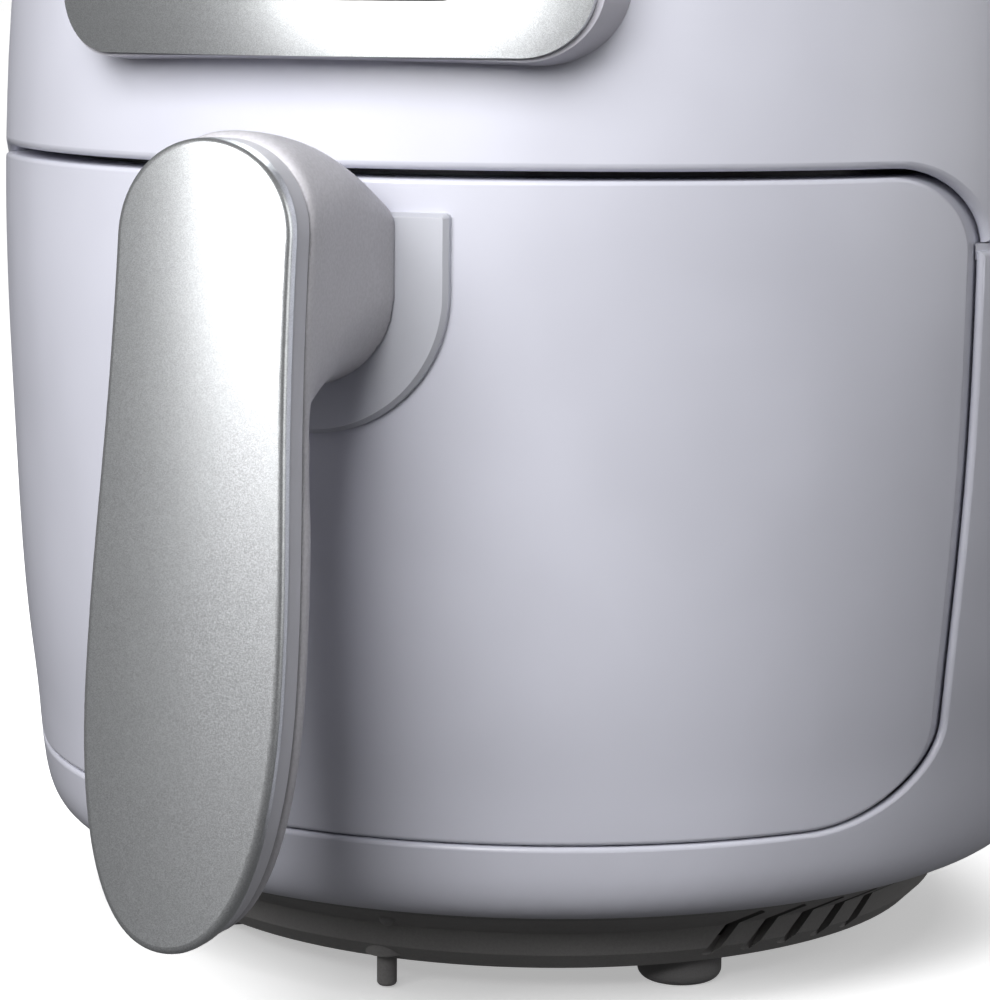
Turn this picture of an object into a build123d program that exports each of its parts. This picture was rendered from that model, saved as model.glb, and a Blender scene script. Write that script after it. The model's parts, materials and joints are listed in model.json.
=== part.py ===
"""Two-litre hot-air fryer with a pull-out drawer, modelled as separate pieces.

Millimetres, +Z up, front (handle) towards -Y.  Pieces are drawn about the body's own
vertical axis and moved by AXIS_Y on export, so the origin is the centre of the base of
the whole object, on the surface it stands on.
"""
from math import atan, degrees, hypot, sqrt
import os

from build123d import *

# ---------------------------------------------------------------- driving dimensions
BODY_OUTLINE = [          # (radius, height) of the outer skin, from the bottom edge to the crown
    (97.0, 21.0), (103.4, 24.4), (106.3, 33.5), (107.4, 46.0), (109.0, 61.0), (111.2, 98.0),
    (112.5, 146.0), (111.5, 178.0), (109.3, 200.0), (103.5, 222.0), (92.0, 243.0),
    (73.0, 260.0), (47.0, 270.5), (22.0, 275.8), (0.0, 277.5),
]
WALL = 2.4                # plastic skin thickness
SIDE_ROWS = slice(2, 10)  # rows of BODY_OUTLINE that describe the side

SEAM_Z = 145.0            # joint between the lower and upper housings
SEAM_GAP = 1.6
GROOVE_DEPTH = 1.35       # how far the seam is open before its floor
COVER_Z = 245.0           # joint between the upper housing and the top cover
COVER_GAP = 1.2
LIP = 1.5                 # tongue that closes each joint from inside
LIP_REACH = 6.0

DRAWER_TOP = 158.5        # the drawer front, seen from the front
DRAWER_LOW = 37.4
DRAWER_HALF = 102.4       # half width at the top of its side edge
DRAWER_HALF_MID = 101.2
DRAWER_HALF_LOW = 98.0
DRAWER_MID_Z = 98.0
TOP_CORNER = (10.2, 14.2)    # half axes of the elliptical top corner
LOW_CORNER = (17.5, 17.3)    # width and height of the bottom corner
SIDE_GAP = 0.35
TOP_GAP = 1.6
FLANGE_DEPTH = 12.0       # how far the drawer front's rim turns inwards
FLANGE_WALL = 2.2
FLANGE_END = 34.0         # plane in front of the axis where the rim stops at the sides

PAN_R = 84.0              # outer radius of the pan's round back and half width of its sides
PAN_FRONT = 80.0          # the pan's flat front, from the body axis
PAN_CORNER = 50.0
PAN_WALL = 1.0
PAN_FLOOR = 43.6
PAN_RIM = 143.5
RIM_WIDTH = 3.2
RIM_WALL = 1.5

CAVITY_R = 88.6           # inside half width of the liner that the pan slides into
LINER_WALL = 1.2
CAVITY_FLOOR = 40.6
CAVITY_CEILING = 147.0
LINER_TOP = CAVITY_CEILING + LINER_WALL
AIR_HOLE_R = 80.0
COLLAR_WALL = 1.8
DRAWER_ROUND = 0.8        # rounding of the skins' edges
LOWER_ROUND = 0.9
UPPER_ROUND = 1.4
COLLAR_DEPTH = 12.9

SHROUD_R = 83.5           # metal heater chamber above the pan
SHROUD_WALL = 0.8
SHROUD_TOP = 187.8

ELEMENT_Z = 160.0
ELEMENT_TUBE_R = 3.2
ELEMENT_R = 70.0
ELEMENT_STEP = 7.0        # radius lost per half turn
ELEMENT_HALF_TURNS = 5

HOT_FAN_R = 48.0
HOT_FAN_Z = 168.0
HOT_FAN_H = 12.0
COOL_FAN_R = 42.0
COOL_FAN_Z = 190.5
SHAFT_R = 3.0
BRACKET_Z = 203.0
MOTOR_R = 32.0
MOTOR_Z = 205.0
MOTOR_H = 33.0

PANEL_OUTLINE = [         # (radius, height) of the raised control panel's face
    (120.5, 170.0), (120.5, 190.0), (117.6, 208.0), (111.5, 224.0), (102.5, 240.0), (96.0, 248.0),
]
PANEL_HALF = 52.4
PANEL_LOW = 179.6
PANEL_TOP = 237.0
PANEL_CORNER = 12.0
PANEL_DRAFT = 5.0         # slope of the frame's sides, in degrees
FASCIA_WALL = 1.1
WINDOW_HALF = 34.0
WINDOW_LOW = 189.3
WINDOW_TOP = 229.0
WINDOW_CORNER = 7.0

BASE_Z = 6.2              # underside of the base pan
BASE_R = 84.0
FOOT_R = 8.3
FOOT_RADIUS = 70.0
LOUVRE_START = 47.0       # azimuth of the first louvre, and the step to the next
LOUVRE_STEP = 6.0
CORD_Z = 60.0
PIN_R = 1.95
PIN_RADIUS = 79.5

PLATE_R = 26.0            # D-shaped escutcheon on the drawer front
PLATE_TOP = 152.7
PLATE_WALL = 1.9

GRIP_TOP_R = 16.3         # handle grip, seen from the front
GRIP_TOP_Z = 150.5
GRIP_BELLY_HALF = 18.45
GRIP_BELLY_Z = 76.0
GRIP_LOW_Z = 31.5
GRIP_FACE = 152.9         # distance of the grip's face from the body axis at GRIP_FACE_Z
GRIP_FACE_Z = 154.0
GRIP_LEAN = 0.1256        # the face moves out by this much per millimetre down
TRIM_ROUND = 1.3          # rounding of the front plate's edge
TRIM_DEPTH = 2.8          # how far back the front plate's own edge reaches
CROWN_R = 95.0            # radius of the front plate's crown, across the grip
CROWN_RISE = 1.2          # its middle stands this far in front of the leaning plane
COVER_DEPTH = 8.0
BACK_DEPTH = 5.4
NECK_SECTIONS = [         # (distance, half width, top, bottom, top corner radius)
    (111.5, 17.0, 152.4, 121.4, 2.0), (118.5, 16.6, 158.2, 121.6, 5.5),
    (126.5, 16.3, 163.8, 120.6, 9.8), (134.5, 16.2, 166.9, 117.6, 13.4),
    (148.5, 16.2, 167.9, 108.5, 16.0),
]

HANDLE_SCREW_Z = (130.5, 144.5)

PROBE_XY = (-60.0, 34.0)  # plan position of the temperature probe
SWITCH_Z = 153.0          # height of the drawer switch's plunger
PLUNGER_R = 1.6
PLUNGER_TRAVEL = 1.6
CRISPER_Z = 54.0          # underside of the crisper plate
GRIP_REACH = 169.32       # the front of the grip, from the body axis
REAR_REACH = 113.27       # the outlet grille's rim at the back, from the body axis
AXIS_Y = (GRIP_REACH - REAR_REACH) / 2    # body axis behind the origin


# ---------------------------------------------------------------- shared shapes
def inset_outline(outline, inset):
    """Outline points moved inwards along their own normals; the ends move vertically."""
    points = []
    last = len(outline) - 1
    for i, (r, z) in enumerate(outline):
        before = outline[max(i - 1, 0)]
        after = outline[min(i + 1, last)]
        run = after[0] - before[0]
        rise = after[1] - before[1]
        if i == 0:
            points.append((r, z + inset))
        elif i == last:
            points.append((r, z - inset))
        else:
            length = hypot(run, rise)
            points.append((r - inset * rise / length, z + inset * run / length))
    return points


def body_solid(inset):
    """Solid inside the whole outer skin, from its flat bottom to its crown."""
    points = inset_outline(BODY_OUTLINE, inset)
    skin = Spline(*points)
    bottom = Line((0, points[0][1]), points[0])
    axis = Line(points[-1], (0, points[0][1]))
    return revolve(Plane.XZ * make_face(bottom + skin + axis), Axis.Z)


def turned_solid(rows, inset):
    """Solid of revolution of the given side rows, moved inwards, with flat ends."""
    points = [(r - inset, z) for r, z in rows]
    side = Spline(*points)
    low = Line((0, points[0][1]), points[0])
    top = Line(points[-1], (0, points[-1][1]))
    axis = Line((0, points[-1][1]), (0, points[0][1]))
    return revolve(Plane.XZ * make_face(low + side + top + axis), Axis.Z)


def side_solid(inset):
    return turned_solid(BODY_OUTLINE[SIDE_ROWS], inset)


def panel_solid(inset):
    return turned_solid(PANEL_OUTLINE, inset)


def slab(low, high):
    """Everything between two heights."""
    return Pos(0, 0, (low + high) / 2) * Box(400, 400, high - low)


def ring(outer, inner, low, high):
    tube = Cylinder(outer, high - low) - Cylinder(inner, high - low)
    return Pos(0, 0, (low + high) / 2) * tube


def post(radius, low, high, x=0.0, y=0.0):
    return Pos(x, y, (low + high) / 2) * Cylinder(radius, high - low)


def front_rod(radius, near, far, x, z):
    """Rod along Y between two distances in front of the body axis."""
    rod = Rot(90, 0, 0) * Cylinder(radius, far - near)
    return Pos(x, -(near + far) / 2, z) * rod


def front_prism(sketch, near=0.0, far=140.0):
    """A sketch drawn in X and Z, carried forwards between two distances from the axis."""
    return extrude(Plane.XZ.offset(near) * sketch, amount=far - near)


def mirrored(edge):
    return mirror(edge, about=Plane.YZ)


def drawer_outline(grow, rise=None):
    """Outline of the drawer front in X and Z, grown outwards; rise is the growth at its top."""
    rise = grow if rise is None else rise
    corner_x = DRAWER_HALF - TOP_CORNER[0]
    corner_z = DRAWER_TOP - TOP_CORNER[1]
    top = Line((-corner_x, DRAWER_TOP + rise), (corner_x, DRAWER_TOP + rise))
    corner = EllipticalCenterArc(
        (corner_x, corner_z), TOP_CORNER[0] + grow, TOP_CORNER[1] + rise, 0, arc_size=90
    )
    low_x = DRAWER_HALF_LOW + grow
    low_z = DRAWER_LOW + LOW_CORNER[1]
    side = ThreePointArc(
        (DRAWER_HALF + grow, corner_z), (DRAWER_HALF_MID + grow, DRAWER_MID_Z), (low_x, low_z)
    )
    end_x = DRAWER_HALF_LOW - LOW_CORNER[0]
    slope = side % 1
    pull = 0.55
    drop = pull * (LOW_CORNER[1] + grow)
    bend = Bezier(
        (low_x, low_z),
        (low_x + drop * slope.X, low_z + drop * slope.Y),
        (end_x + pull * (LOW_CORNER[0] + grow), DRAWER_LOW - grow),
        (end_x, DRAWER_LOW - grow),
    )
    bottom = Line((-end_x, DRAWER_LOW - grow), (end_x, DRAWER_LOW - grow))
    right = corner + side + bend
    return make_face(top + right + mirrored(right) + bottom)


def rounded_window(half, low, high, corner):
    return Pos(0, (low + high) / 2) * RectangleRounded(2 * half, high - low, corner)


def pan_plan(grow):
    """The pan's outline in plan: round back, straight sides, flat front with round corners."""
    half = PAN_R + grow
    corner = PAN_CORNER + grow
    corner_x = PAN_R - PAN_CORNER
    corner_y = PAN_CORNER - PAN_FRONT
    back = CenterArc((0, 0), half, 0, 180)
    left = Line((-half, 0), (-half, corner_y))
    left_corner = CenterArc((-corner_x, corner_y), corner, 180, 90)
    front = Line((-corner_x, -PAN_FRONT - grow), (corner_x, -PAN_FRONT - grow))
    right_corner = CenterArc((corner_x, corner_y), corner, 270, 90)
    right = Line((half, corner_y), (half, 0))
    return make_face(back + left + left_corner + front + right_corner + right)


def in_plan(sketch, low, high):
    return extrude(Plane.XY.offset(low) * sketch, amount=high - low)


def around(shape, count, first=0.0):
    """Copies of a shape at equal steps round the body axis."""
    return [Rot(0, 0, first + 360 * i / count) * shape for i in range(count)]


def group(pieces):
    """Several separate solids as one sub-part."""
    return Compound([solid for piece in pieces for solid in piece.solids()])


def screw(head_r, head_h, shank_r, length):
    """Screw pointing up, with the underside of its head at Z = 0 and a cross recess."""
    head = Pos(0, 0, -head_h / 2) * Cylinder(head_r, head_h)
    head = chamfer(head.edges().group_by(Axis.Z)[0], head_h / 3)
    shank = Pos(0, 0, length / 2) * Cylinder(shank_r, length)
    slot = Pos(0, 0, -head_h) * Box(head_r * 1.2, head_h / 4, head_h)
    return head + shank - slot - Rot(0, 0, 90) * slot


def skin_edges(shape, keep):
    """Edges of the outermost skin whose middle point satisfies keep."""
    skin = shape.faces().sort_by(SortBy.AREA)[-1]
    return skin.edges().filter_by(lambda edge: keep(edge.position_at(0.5)))


# ---------------------------------------------------------------- housing
def opening_collar():
    """Short wall that runs inwards from the edge of the drawer opening."""
    outline = drawer_outline(SIDE_GAP + COLLAR_WALL, TOP_GAP + COLLAR_WALL)
    outer = front_prism(outline, near=FLANGE_END - 1.0)
    return outer & (body_solid(WALL / 2) - side_solid(COLLAR_DEPTH))


def joint_tongue(low, seam, high):
    """Ring inside a joint: fused to the skin below the seam, clear of the skin above it."""
    root = (body_solid(WALL / 2) - body_solid(WALL + LIP)) & slab(low, seam)
    tongue = (body_solid(WALL + 0.15) - body_solid(WALL + LIP)) & slab(seam - 0.5, high)
    return root + tongue


def lower_housing():
    low_edge = SEAM_Z - SEAM_GAP / 2
    opening = front_prism(drawer_outline(SIDE_GAP, TOP_GAP))
    shell = (body_solid(0) - body_solid(WALL)) & slab(0, low_edge)
    tongue = joint_tongue(low_edge - LIP_REACH, low_edge, SEAM_Z + LIP_REACH)
    tongue -= front_prism(drawer_outline(TOP_GAP + COLLAR_WALL + 0.3))
    collar = opening_collar() & slab(0, low_edge)
    housing = shell + tongue + collar - opening
    edges = skin_edges(housing, lambda middle: middle.Y < -40 or middle.Z > low_edge - 0.5)
    housing = fillet(edges, LOWER_ROUND)
    groove_floor = (body_solid(GROOVE_DEPTH) - body_solid(WALL)) & slab(low_edge - 1.5, SEAM_Z + 0.6)
    housing += groove_floor - opening
    housing -= post(94.2, 15, 30)
    housing -= rear_rod(6.2, 100, 116, 0, CORD_Z)
    return housing


def upper_housing():
    low_edge = SEAM_Z + SEAM_GAP / 2
    high_edge = COVER_Z - COVER_GAP / 2
    opening = front_prism(drawer_outline(SIDE_GAP, TOP_GAP))
    shell = (body_solid(0) - body_solid(WALL)) & slab(low_edge, high_edge)
    collar = opening_collar() & slab(low_edge, 200)
    tongue = joint_tongue(high_edge - LIP_REACH, high_edge, COVER_Z + LIP_REACH)
    housing = shell + collar + tongue - opening
    edges = skin_edges(housing, lambda middle: middle.Z < DRAWER_TOP + 3)
    housing = fillet(edges, UPPER_ROUND)
    housing -= front_prism(rounded_window(WINDOW_HALF, 188.5, 225.5, 4), near=60)
    for x in (-38, 38):
        for z in (190, 222):
            housing += front_rod(3.0, 87.6, 110, x, z) & body_solid(WALL / 2)
            housing -= front_rod(1.2, 80, 94, x, z)
    outlet = Plane.XZ.offset(-130) * rounded_window(31, 191, 223, 5)
    housing -= extrude(outlet, amount=60)
    return housing


def top_cover():
    shell = (body_solid(0) - body_solid(WALL)) & slab(COVER_Z + COVER_GAP / 2, 300)
    stiffener = (body_solid(WALL / 2) - body_solid(WALL + 1.2)) & slab(262, 265)
    return shell + stiffener


def base_pan():
    outline = Polyline(
        (0, BASE_Z), (80.5, BASE_Z), (BASE_R, BASE_Z + 3.5), (85.6, 14.5), (95.0, 19.8),
        (95.6, 20.85), (93.9, 20.85), (93.9, 26.0), (91.7, 26.0), (91.7, 20.2), (83.2, 15.6),
        (81.8, 10.6), (79.6, BASE_Z + 2.2), (0, BASE_Z + 2.2), close=True
    )
    pan = revolve(Plane.XZ * make_face(outline), Axis.Z)
    for x, y in foot_places():
        pan += post(5.0, BASE_Z + 1, 14, x, y)
        pan -= post(2.6, 0, 20, x, y)
    pan += post(4.2, BASE_Z + 1, 15, 0, -PIN_RADIUS)
    pan += Rot(0, 0, 3) * Pos(0, -89.5, 17.2) * Sphere(1.7)
    pan -= post(PIN_R + 0.05, 0, 11, 0, -PIN_RADIUS)
    for side in (-1, 1):
        for turn in range(5):
            azimuth = side * (LOUVRE_START + LOUVRE_STEP * turn)
            slot = Rot(0, side * 32, 0) * Box(2.5, 12, 13)
            pan -= Rot(0, 0, azimuth) * Pos(0, -88, 13.2) * slot
    for x in (-60, -30, 0, 30, 60):
        pan -= Pos(x, 0, BASE_Z) * Box(5, 60, 12)
    return pan


def foot_places():
    reach = FOOT_RADIUS / sqrt(2)
    return [(sx * reach, sy * reach) for sx in (-1, 1) for sy in (-1, 1)]


def rubber_feet():
    feet = []
    for x, y in foot_places():
        pad = post(FOOT_R, 0, BASE_Z, x, y)
        pad = fillet(pad.edges().group_by(Axis.Z)[0], 2.2)
        stem = post(2.5, BASE_Z - 0.5, 14.0, x, y)
        cap = Pos(x, y, 15.2) * Cone(3.6, 1.8, 2.4)
        feet.append(pad + stem + cap)
    return group(feet)


def front_rest_pin():
    pin = post(PIN_R, 0.4, 10.8, 0, -PIN_RADIUS)
    return fillet(pin.edges().group_by(Axis.Z)[0], 0.8)


def rear_rod(radius, near, far, x, z):
    """Rod along Y between two distances behind the body axis."""
    return Pos(x, (near + far) / 2, z) * Rot(90, 0, 0) * Cylinder(radius, far - near)


def cord_entry_bush():
    """Bush in the back wall where a mains lead would enter, with a flange each side."""
    tube = rear_rod(6.0, 101, 113, 0, CORD_Z)
    flange = rear_rod(8.5, 109.7, 111.9, 0, CORD_Z)
    collar = rear_rod(7.6, 103.6, 105.2, 0, CORD_Z)
    return tube + flange + collar - rear_rod(4.0, 100, 114, 0, CORD_Z)


def rear_prism(sketch):
    """A sketch drawn in X and Z, carried backwards through the back of the body."""
    return extrude(Plane.XZ.offset(-60) * sketch, amount=-70)


def rear_air_grille():
    """Outlet grille in the back of the upper housing, with sloping slats."""
    rim = rear_prism(rounded_window(35, 187, 227, 8)) & (body_solid(-2.4) - body_solid(-0.1))
    sleeve = rear_prism(rounded_window(30.8, 191.2, 222.8, 4.8)) & (body_solid(-1.0) - body_solid(9))
    way = rear_prism(rounded_window(28.8, 193.2, 220.8, 3))
    grille = rim + sleeve - way
    for i in range(5):
        height = 196 + 5.5 * i
        depth = 105.3 - 0.22 * 5.5 * i
        grille += Pos(0, depth, height) * Rot(-35, 0, 0) * Box(58.4, 9, 1.4)
    for x in (-10, 10):
        bar = Pos(x, 95, 207) * Box(1.6, 60, 28.4)
        grille += bar & (body_solid(3.0) - body_solid(8))
    return grille


# ---------------------------------------------------------------- control panel
def panel_frame():
    """Side frame of the raised panel; its edges slope out a little towards the body."""
    face = Plane.XZ.offset(PANEL_OUTLINE[0][0]) * rounded_window(
        PANEL_HALF - 0.3, PANEL_LOW + 0.2, PANEL_TOP - 0.2, PANEL_CORNER
    )
    outer = extrude(face, amount=60, taper=-PANEL_DRAFT, dir=(0, 1, 0))
    inner = rounded_window(PANEL_HALF - 2.4, PANEL_LOW + 2.4, PANEL_TOP - 2.4, PANEL_CORNER - 2.4)
    hollow = front_prism(inner, near=60) & panel_solid(FASCIA_WALL + 2.0)
    window = rounded_window(WINDOW_HALF - 1.2, WINDOW_LOW + 1.2, WINDOW_TOP - 1.2, WINDOW_CORNER - 1.2)
    frame = (outer & panel_solid(FASCIA_WALL + 0.2)) - body_solid(-0.05)
    return frame - hollow - front_prism(window, near=60)


def panel_fascia():
    outline = rounded_window(PANEL_HALF - 0.2, PANEL_LOW + 0.2, PANEL_TOP - 0.2, PANEL_CORNER - 0.2)
    plate = front_prism(outline, near=60) & (panel_solid(0) - panel_solid(FASCIA_WALL))
    window = rounded_window(WINDOW_HALF, WINDOW_LOW, WINDOW_TOP, WINDOW_CORNER)
    return plate - front_prism(window, near=60)


def display_window():
    outline = rounded_window(WINDOW_HALF - 0.2, WINDOW_LOW + 0.2, WINDOW_TOP - 0.2, WINDOW_CORNER - 0.2)
    return front_prism(outline, near=60) & (panel_solid(0.25) - panel_solid(FASCIA_WALL + 0.15))


def control_board():
    board = Pos(0, -86.8, 206) * Box(84, 1.6, 40)
    module = Pos(0, -95.0, 207) * Box(60, 14.8, 26)
    board += module
    for x in (-30, -10, 10, 30):
        board += Pos(x, -84.5, 192) * Box(7, 3.4, 5)
    board += Pos(14, -82.5, 208) * Box(18, 7.4, 11)
    for x in (-38, 38):
        for z in (190, 222):
            board -= front_rod(1.3, 80, 92, x, z)
    return board


def control_board_screws():
    screws = []
    for x in (-38, 38):
        for z in (190, 222):
            item = Rot(90, 0, 0) * screw(2.3, 1.6, 1.1, 6.0)
            screws.append(Pos(x, -85.95, z) * item)
    return group(screws)


def power_board():
    board = Pos(0, 62.8, 215) * Box(84, 1.6, 36)
    board += Pos(-24, 72.4, 213) * Box(22, 17.8, 19)
    board += Pos(6, 69.4, 217) * Box(15, 11.8, 12)
    board += Pos(26, 71.4, 209) * Rot(90, 0, 0) * Cylinder(5, 15.8)
    board += Pos(32, 68.4, 224) * Box(8, 9.8, 10)
    return board


# ---------------------------------------------------------------- cavity and heater
def cavity_liner():
    """Sheet liner the pan slides into, with a curved frame that fills the drawer opening."""
    depth = COLLAR_DEPTH + 0.1
    walls = in_plan(pan_side_plan(CAVITY_R + LINER_WALL), CAVITY_FLOOR - LINER_WALL, LINER_TOP)
    walls -= in_plan(pan_side_plan(CAVITY_R), CAVITY_FLOOR, CAVITY_CEILING)
    walls &= side_solid(depth)
    walls -= post(AIR_HOLE_R, CAVITY_CEILING - 1, LINER_TOP + 1)
    outline = drawer_outline(TOP_GAP + COLLAR_WALL - 0.2)
    frame = front_prism(outline, near=FLANGE_END - 1.1) & side_solid(depth)
    mouth = Pos(0, -100, (CAVITY_FLOOR + CAVITY_CEILING) / 2)
    frame -= mouth * Box(2 * CAVITY_R, 120, CAVITY_CEILING - CAVITY_FLOOR)
    frame -= side_solid(depth + 1.5)
    frame -= front_rod(2.6, 90, 105, 0, SWITCH_Z)
    return walls + frame


def pan_side_plan(half):
    """U shape in plan: round back and straight sides that run out past the front."""
    back = CenterArc((0, 0), half, 0, 180)
    left = Line((-half, 0), (-half, -130))
    front = Line((-half, -130), (half, -130))
    right = Line((half, -130), (half, 0))
    return make_face(back + left + front + right)


def guide_rails():
    """Ledge on each side of the cavity that carries the pan's rim."""
    ledge_top = PAN_RIM - RIM_WALL - 0.3
    rails = []
    for side in (-1, 1):
        ledge = Pos(side * 86.7, -46, ledge_top - 2) * Box(3.4, 90, 4)
        ledge = chamfer(ledge.edges().filter_by(Axis.Z), 1.5)
        web = Pos(side * 88.05, -46, ledge_top - 5) * Box(0.7, 90, 10)
        rails.append((ledge + web) & side_solid(COLLAR_DEPTH + 2))
    return group(rails)


def heater_shroud():
    low = LINER_TOP
    cup = ring(SHROUD_R, SHROUD_R - SHROUD_WALL, low, SHROUD_TOP)
    cup += post(SHROUD_R, SHROUD_TOP - SHROUD_WALL, SHROUD_TOP)
    ear = Pos(SHROUD_R + 2.5, 0, low + 0.5) * Box(6, 14, 1.0)
    for item in around(ear, 4, 45):
        cup += item
    for item in around(post(1.7, low - 1, low + 3, SHROUD_R + 2.6), 4, 45):
        cup -= item
    cup -= post(7, 180, 190)
    for x, y in element_ends():
        cup -= post(5.0, 180, 190, x, y)
    cup -= post(2.6, 180, 190, *PROBE_XY)
    return cup


def shroud_screws():
    low = LINER_TOP + 1.0
    item = Pos(SHROUD_R + 2.6, 0, low) * Rot(180, 0, 0) * screw(2.6, 1.8, 1.5, 1.0)
    return group(around(item, 4, 45))


def half_ring(radius, centre_x, turn):
    """Half of a torus, for one half turn of the heating element."""
    circle = Plane.XZ * (Pos(radius, 0) * Circle(ELEMENT_TUBE_R))
    half = revolve(circle, Axis.Z, 180)
    return Pos(centre_x, 0, ELEMENT_Z) * Rot(0, 0, turn) * half


def element_ends():
    """Plan positions of the heating element's two upright ends."""
    inner_x = ELEMENT_R
    for i in range(ELEMENT_HALF_TURNS):
        radius = ELEMENT_R - ELEMENT_STEP * i / 2
        inner_x += 2 * radius * (-1 if i % 2 == 0 else 1)
    return [(ELEMENT_R, 0.0), (inner_x, 0.0)]


def heating_element():
    """Flat spiral of sheathed tube, built from half turns of shrinking radius."""
    coil = None
    start_x = ELEMENT_R
    for i in range(ELEMENT_HALF_TURNS):
        radius = ELEMENT_R - ELEMENT_STEP * i / 2
        way = -1 if i % 2 == 0 else 1
        piece = half_ring(radius, start_x + way * radius, 0 if i % 2 == 0 else 180)
        coil = piece if coil is None else coil + piece
        start_x += 2 * radius * way
    for x, y in element_ends():
        coil += Pos(x, y, ELEMENT_Z) * Sphere(ELEMENT_TUBE_R + 0.4)
        coil += post(ELEMENT_TUBE_R, ELEMENT_Z + 1, 197, x, y)
        coil += post(1.2, 196, 203, x, y)
    return coil


def terminal_bushes():
    bushes = []
    for x, y in element_ends():
        body = ring(4.8, ELEMENT_TUBE_R + 0.05, 183, 191) + ring(6.6, ELEMENT_TUBE_R + 0.05, 187.85, 190)
        bushes.append(Pos(x, y, 0) * body)
    return group(bushes)


def element_brackets():
    """Three strips that hold the element's outer turn below the shroud."""
    strip = Pos(76.2, 0, 171.0) * Box(1.0, 8, 32)
    hook = Pos(69.5, 0, 155.5) * Box(14.4, 8, 1.0)
    foot = Pos(79.0, 0, 186.4) * Box(6.6, 8, 1.0)
    return group([Rot(0, 0, a) * (strip + hook + foot) for a in (60, 150, 270)])


def element_guard():
    """Wire guard that lies on the liner round its air hole."""
    wire_r = 1.2
    z = LINER_TOP + wire_r
    guard = Pos(0, 0, z) * Torus(81.2, wire_r)
    for radius in (60.0, 38.0, 16.0):
        guard += Pos(0, 0, z) * Torus(radius, wire_r)
    for turn in (0, 60, 120):
        bar = Rot(0, 90, 0) * Cylinder(wire_r, 2 * 81.2)
        guard += Pos(0, 0, z) * Rot(0, 0, turn + 30) * bar
    return guard


def temperature_probe():
    return post(2.5, 174, 192, *PROBE_XY) + post(4.0, 187.9, 189.5, *PROBE_XY)


def thermal_cutout():
    body = post(8.0, 187.9, 192.5, 0, 60) + post(5.0, 192, 195.0, 0, 60)
    for side in (-1, 1):
        body += Pos(side * 8, 60, 191.4) * Box(8, 5, 0.8)
    return body


# ---------------------------------------------------------------- motor and fans
def bladed_wheel(radius, hub_r, low, high, disc_low, count, lean):
    """Radial fan wheel: disc, hub and straight blades leaning back."""
    wheel = post(radius, disc_low, disc_low + 1.0) + post(hub_r, low, high)
    length = radius - hub_r - 3
    blade = Pos(hub_r + 3 + length / 2, 0, (low + high) / 2) * Rot(0, 0, lean)
    blade *= Box(length, 1.0, high - low)
    for item in around(blade, count):
        wheel += item
    return wheel & post(radius, low - 1, high + 1)


def hot_air_fan():
    top = HOT_FAN_Z + HOT_FAN_H
    wheel = bladed_wheel(HOT_FAN_R, 9.0, HOT_FAN_Z, top, top - 1.0, 12, 18)
    return wheel - post(SHAFT_R, HOT_FAN_Z - 5, top + 5)


def cooling_fan():
    top = COOL_FAN_Z + 9
    wheel = bladed_wheel(COOL_FAN_R, 8.0, COOL_FAN_Z, top, COOL_FAN_Z, 10, 18)
    return wheel - post(SHAFT_R, COOL_FAN_Z - 5, top + 5)


def fan_nut():
    nut = extrude(Plane.XY.offset(HOT_FAN_Z - 4.2) * RegularPolygon(5.5, 6), amount=4.2)
    return nut - post(SHAFT_R, HOT_FAN_Z - 6, HOT_FAN_Z + 2)


def motor_shaft():
    shaft = post(SHAFT_R, HOT_FAN_Z - 6, MOTOR_Z + MOTOR_H + 2)
    return chamfer(shaft.edges().filter_by(GeomType.CIRCLE), 0.6)


def motor_rotor():
    core = ring(17.0, SHAFT_R, MOTOR_Z + 7.5, MOTOR_Z + 25.5)
    for item in around(post(1.4, MOTOR_Z + 6, MOTOR_Z + 27, 14.5), 10):
        core += item
    return core


def motor_can():
    can = ring(MOTOR_R, MOTOR_R - 1.5, MOTOR_Z, MOTOR_Z + MOTOR_H)
    can += ring(MOTOR_R, 6.0, MOTOR_Z, MOTOR_Z + 1.5)
    can += ring(MOTOR_R, 6.0, MOTOR_Z + MOTOR_H - 1.5, MOTOR_Z + MOTOR_H)
    for item in around(Pos(MOTOR_R, 0, MOTOR_Z + 16) * Box(8, 6, 16), 6, 30):
        can -= item
    return can


def motor_bearings():
    low = ring(5.95, SHAFT_R + 0.03, MOTOR_Z, MOTOR_Z + 6)
    high = ring(5.95, SHAFT_R + 0.03, MOTOR_Z + MOTOR_H - 6, MOTOR_Z + MOTOR_H)
    return group([low, high])


def motor_stator():
    core = ring(30.3, 17.8, MOTOR_Z + 9, MOTOR_Z + 24)
    for item in around(Pos(24.5, 0, MOTOR_Z + 16.5) * Box(8, 9, 21), 6):
        core += item
    return core


def motor_bracket():
    plate = Pos(0, 9, BRACKET_Z + 0.95) * Box(124, 96, 1.9)
    plate = fillet(plate.edges().filter_by(Axis.Z), 8)
    plate -= post(7.0, BRACKET_Z - 2, BRACKET_Z + 4)
    for x in (-52, 52):
        for y in (-26, 26):
            plate += post(4.0, SHROUD_TOP, BRACKET_Z + 1, x, y)
            plate -= post(1.6, SHROUD_TOP - 1, BRACKET_Z + 4, x, y)
    plate -= post(4.2, BRACKET_Z - 2, BRACKET_Z + 4, *element_ends()[0])
    return plate


def bracket_screws():
    item = Rot(180, 0, 0) * screw(3.0, 2.0, 1.5, 10)
    places = [(x, y) for x in (-52, 52) for y in (-26, 26)]
    return group([Pos(x, y, BRACKET_Z + 1.9) * item for x, y in places])


# ---------------------------------------------------------------- drawer switch
def drawer_switch():
    body = Pos(0, -91.3, 154.9) * Box(14, 10, 13.2)
    body -= front_rod(PLUNGER_R + 0.08, 87.6, 98, 0, SWITCH_Z)
    for x in (-4, 4):
        body += Pos(x, -88, 164) * Box(1.0, 3.0, 6)
    return body


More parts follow.
